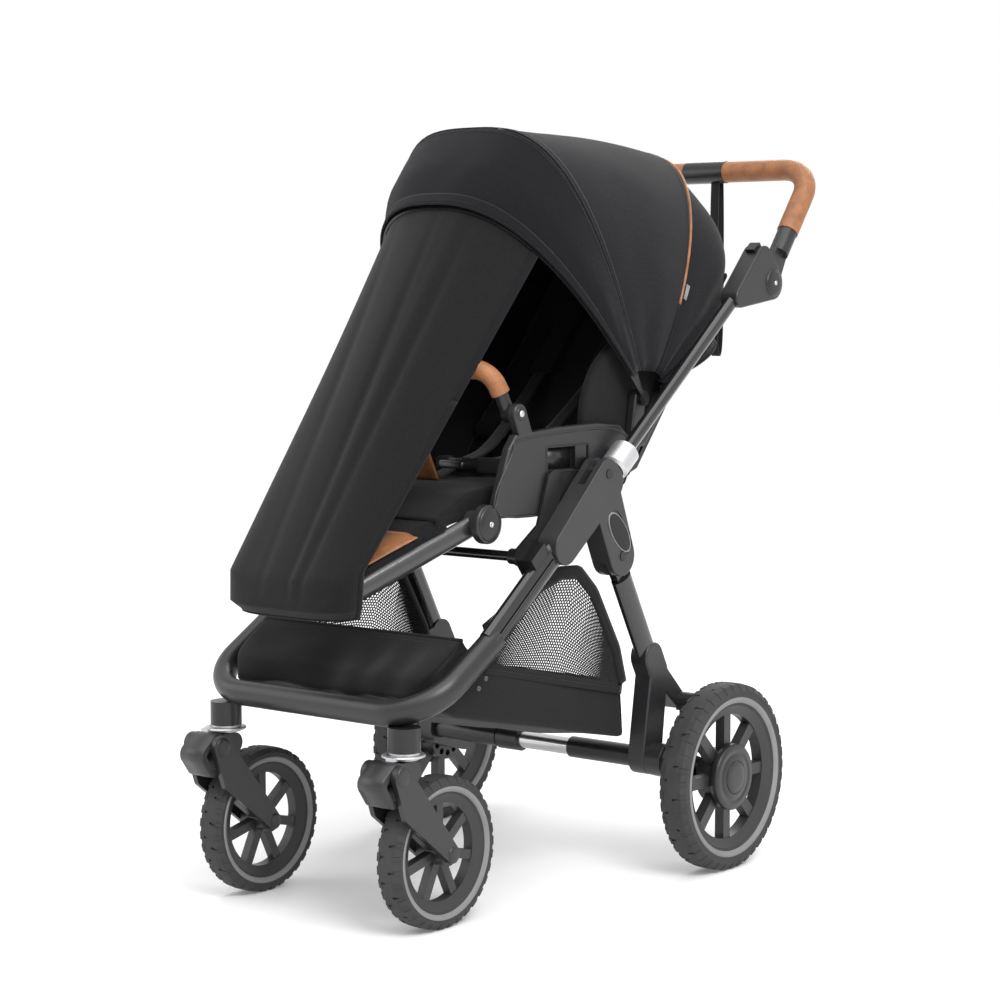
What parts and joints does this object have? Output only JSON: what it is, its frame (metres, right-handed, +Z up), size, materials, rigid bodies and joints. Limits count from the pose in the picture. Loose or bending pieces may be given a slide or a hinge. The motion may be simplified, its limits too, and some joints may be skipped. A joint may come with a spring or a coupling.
{
  "type": "baby stroller",
  "caption": "Folding baby stroller with a tilting seat, canopy, sun cover, swivel front wheels, sprung rear wheels, basket and tilting handlebar.",
  "frame": {"origin": "on the floor under the middle of the stroller", "axes": "+X to the stroller left, +Y to its rear, +Z up"},
  "size_m": [0.602, 1.0496, 1.0899],
  "materials": {
    "gloss_black": "gloss",
    "grey_plastic": "satin",
    "black_plastic": "satin",
    "silver": "satin",
    "steel": "satin",
    "leather": "satin",
    "tyre": "matte",
    "rim": "gloss",
    "rubber": "matte",
    "cloth": "matte",
    "net": "matte",
    "webbing": "matte"
  },
  "bodies": {
    "chassis": {"front_hoop": "gloss_black", "side_tubes": "gloss_black", "joint_housings": "grey_plastic", "pivot_pins": "steel", "cross_bar": "silver", "seat_adapters": "black_plastic", "caster_sockets": "black_plastic", "basket_tub": "cloth", "basket_nets": "net"},
    "push_arms": {"arm_tubes": "silver", "handle_hinge_lowers": "grey_plastic"},
    "fold_catches": {"fold_catches": "silver"},
    "handlebar": {"handle_tube": "gloss_black", "handle_grips": "leather", "handle_sleeve": "black_plastic", "handle_hinge_uppers": "grey_plastic", "wrist_strap": "webbing"},
    "handle_triggers": {"handle_triggers": "black_plastic"},
    "rear_legs": {"rear_leg_tubes": "gloss_black", "rear_brackets": "grey_plastic", "rear_axle": "silver", "axle_sleeves": "black_plastic", "suspension_pucks": "rubber"},
    "brake_pedal": {"brake_pedal": "black_plastic"},
    "seat": {"seat_shell": "black_plastic", "seat_sides": "grey_plastic", "seat_pad": "cloth", "back_pad": "cloth", "harness": "webbing", "canopy_back_panel": "cloth"},
    "seat_triggers": {"seat_triggers": "black_plastic"},
    "bumper": {"bumper_bar": "black_plastic", "bumper_grip": "leather"},
    "footrest": {"footrest_frame": "silver", "footrest_pad": "cloth", "sun_cover_lower": "cloth"},
    "canopy_mid": {"canopy_mid_bow": "black_plastic", "canopy_main_panel": "cloth"},
    "canopy_front": {"canopy_front_bow": "black_plastic", "canopy_visor": "cloth", "sun_cover_upper": "cloth"},
    "swing_l": {"swing_arm_l": "grey_plastic"},
    "rear_wheel_l": {"rear_tyre_l": "tyre", "rear_rim_l": "rim"},
    "brake_pin_l": {"brake_pin_l": "steel"},
    "caster_l": {"caster_body_l": "grey_plastic"},
    "swivel_lever_l": {"swivel_lever_l": "silver"},
    "fork_l": {"fork_l": "grey_plastic"},
    "front_wheel_l": {"front_tyre_l": "tyre", "front_rim_l": "rim"},
    "swing_r": {"swing_arm_r": "grey_plastic"},
    "rear_wheel_r": {"rear_tyre_r": "tyre", "rear_rim_r": "rim"},
    "brake_pin_r": {"brake_pin_r": "steel"},
    "caster_r": {"caster_body_r": "grey_plastic"},
    "swivel_lever_r": {"swivel_lever_r": "silver"},
    "fork_r": {"fork_r": "grey_plastic"},
    "front_wheel_r": {"front_tyre_r": "tyre", "front_rim_r": "rim"}
  },
  "joints": [
    {"name": "arm_fold", "type": "hinge", "parent": "chassis", "child": "push_arms", "pos_m": [0, -0.06527, 0.59819], "axis": [1, 0, 0], "range_deg": [0, 125], "deforming": ["wrist_strap", "basket_tub", "basket_nets"]},
    {"name": "catch_slide", "type": "slide", "parent": "push_arms", "child": "fold_catches", "axis": [0, 0.788, 0.6157], "range_m": [0, 0.012], "stiffness_N_per_m": 400, "springref_m": -0.008},
    {"name": "handle_tilt", "type": "hinge", "parent": "push_arms", "child": "handlebar", "pos_m": [0, 0.36656, 0.869], "axis": [1, 0, 0], "range_deg": [-35, 15], "deforming": ["wrist_strap"]},
    {"name": "handle_trigger_press", "type": "slide", "parent": "push_arms", "child": "handle_triggers", "axis": [0, 0.6157, -0.788], "range_m": [0, 0.004], "stiffness_N_per_m": 500, "springref_m": -0.004},
    {"name": "leg_fold", "type": "hinge", "parent": "chassis", "child": "rear_legs", "pos_m": [0, -0.03144, 0.478], "axis": [1, 0, 0], "range_deg": [-49.11, 0], "deforming": ["basket_tub", "basket_nets"]},
    {"name": "brake_press", "type": "hinge", "parent": "rear_legs", "child": "brake_pedal", "pos_m": [0, 0.04956, 0.172], "axis": [1, 0, 0], "range_deg": [-18, 0]},
    {"name": "seat_tilt", "type": "hinge", "parent": "chassis", "child": "seat", "pos_m": [0, -0.14644, 0.59], "axis": [1, 0, 0], "range_deg": [-12, 10]},
    {"name": "seat_trigger_pull", "type": "slide", "parent": "seat", "child": "seat_triggers", "axis": [0, 1, 0], "range_m": [0, 0.006], "stiffness_N_per_m": 500, "springref_m": -0.004},
    {"name": "bumper_swing", "type": "hinge", "parent": "seat", "child": "bumper", "pos_m": [0, -0.21544, 0.688], "axis": [1, 0, 0], "range_deg": [-50, 0]},
    {"name": "footrest_tilt", "type": "hinge", "parent": "seat", "child": "footrest", "pos_m": [0, -0.28344, 0.54], "axis": [1, 0, 0], "range_deg": [-25, 15], "deforming": ["sun_cover_lower"]},
    {"name": "canopy_fold", "type": "hinge", "parent": "seat", "child": "canopy_mid", "pos_m": [0, 0.06856, 0.7], "axis": [1, 0, 0], "range_deg": [-38, 0], "deforming": ["canopy_main_panel", "canopy_visor", "sun_cover_upper"]},
    {"name": "canopy_front_fold", "type": "hinge", "parent": "canopy_mid", "child": "canopy_front", "pos_m": [0, 0.06856, 0.7], "axis": [1, 0, 0], "range_deg": [-10, 0], "deforming": ["canopy_main_panel", "canopy_visor", "sun_cover_upper"]},
    {"name": "swing_l", "type": "hinge", "parent": "rear_legs", "child": "swing_l", "pos_m": [0.232, 0.04956, 0.172], "axis": [1, 0, 0], "range_deg": [0, 6], "stiffness_Nm_per_rad": 400, "springref_deg": -4.58, "deforming": ["suspension_pucks"]},
    {"name": "rear_roll_l", "type": "hinge", "parent": "swing_l", "child": "rear_wheel_l", "pos_m": [0.2775, 0.14556, 0.139], "axis": [1, 0, 0], "continuous": true},
    {"name": "brake_pin_l", "type": "slide", "parent": "swing_l", "child": "brake_pin_l", "axis": [1, 0, 0], "range_m": [0, 0.009]},
    {"name": "caster_swivel_l", "type": "hinge", "parent": "chassis", "child": "caster_l", "pos_m": [0.166, -0.44644, 0.25], "axis": [0, 0, 1], "continuous": true},
    {"name": "swivel_lock_l", "type": "hinge", "parent": "caster_l", "child": "swivel_lever_l", "pos_m": [0.166, -0.44644, 0.2497], "axis": [0, 0, 1], "range_deg": [-20, 0]},
    {"name": "fork_spring_l", "type": "hinge", "parent": "caster_l", "child": "fork_l", "pos_m": [0.166, -0.48344, 0.225], "axis": [1, 0, 0], "range_deg": [0, 8], "stiffness_Nm_per_rad": 120, "springref_deg": -8.59},
    {"name": "front_roll_l", "type": "hinge", "parent": "fork_l", "child": "front_wheel_l", "pos_m": [0.166, -0.38144, 0.104], "axis": [1, 0, 0], "continuous": true},
    {"name": "swing_r", "type": "hinge", "parent": "rear_legs", "child": "swing_r", "pos_m": [-0.232, 0.04956, 0.172], "axis": [1, 0, 0], "range_deg": [0, 6], "stiffness_Nm_per_rad": 400, "springref_deg": -4.58, "deforming": ["suspension_pucks"]},
    {"name": "rear_roll_r", "type": "hinge", "parent": "swing_r", "child": "rear_wheel_r", "pos_m": [-0.2775, 0.14556, 0.139], "axis": [1, 0, 0], "continuous": true},
    {"name": "brake_pin_r", "type": "slide", "parent": "swing_r", "child": "brake_pin_r", "axis": [-1, 0, 0], "range_m": [0, 0.009]},
    {"name": "caster_swivel_r", "type": "hinge", "parent": "chassis", "child": "caster_r", "pos_m": [-0.166, -0.44644, 0.25], "axis": [0, 0, 1], "continuous": true},
    {"name": "swivel_lock_r", "type": "hinge", "parent": "caster_r", "child": "swivel_lever_r", "pos_m": [-0.166, -0.44644, 0.2497], "axis": [0, 0, 1], "range_deg": [0, 20]},
    {"name": "fork_spring_r", "type": "hinge", "parent": "caster_r", "child": "fork_r", "pos_m": [-0.166, -0.48344, 0.225], "axis": [1, 0, 0], "range_deg": [0, 8], "stiffness_Nm_per_rad": 120, "springref_deg": -8.59},
    {"name": "front_roll_r", "type": "hinge", "parent": "fork_r", "child": "front_wheel_r", "pos_m": [-0.166, -0.38144, 0.104], "axis": [1, 0, 0], "continuous": true}
  ],
  "couplings": [
    {"joint": "leg_fold", "follows": "arm_fold", "ratio": -0.39286},
    {"joint": "canopy_front_fold", "follows": "canopy_fold", "ratio": 0.26316},
    {"joint": "brake_pin_l", "follows": "brake_press", "m_per_rad": -0.028648},
    {"joint": "brake_pin_r", "follows": "brake_press", "m_per_rad": -0.028648}
  ]
}
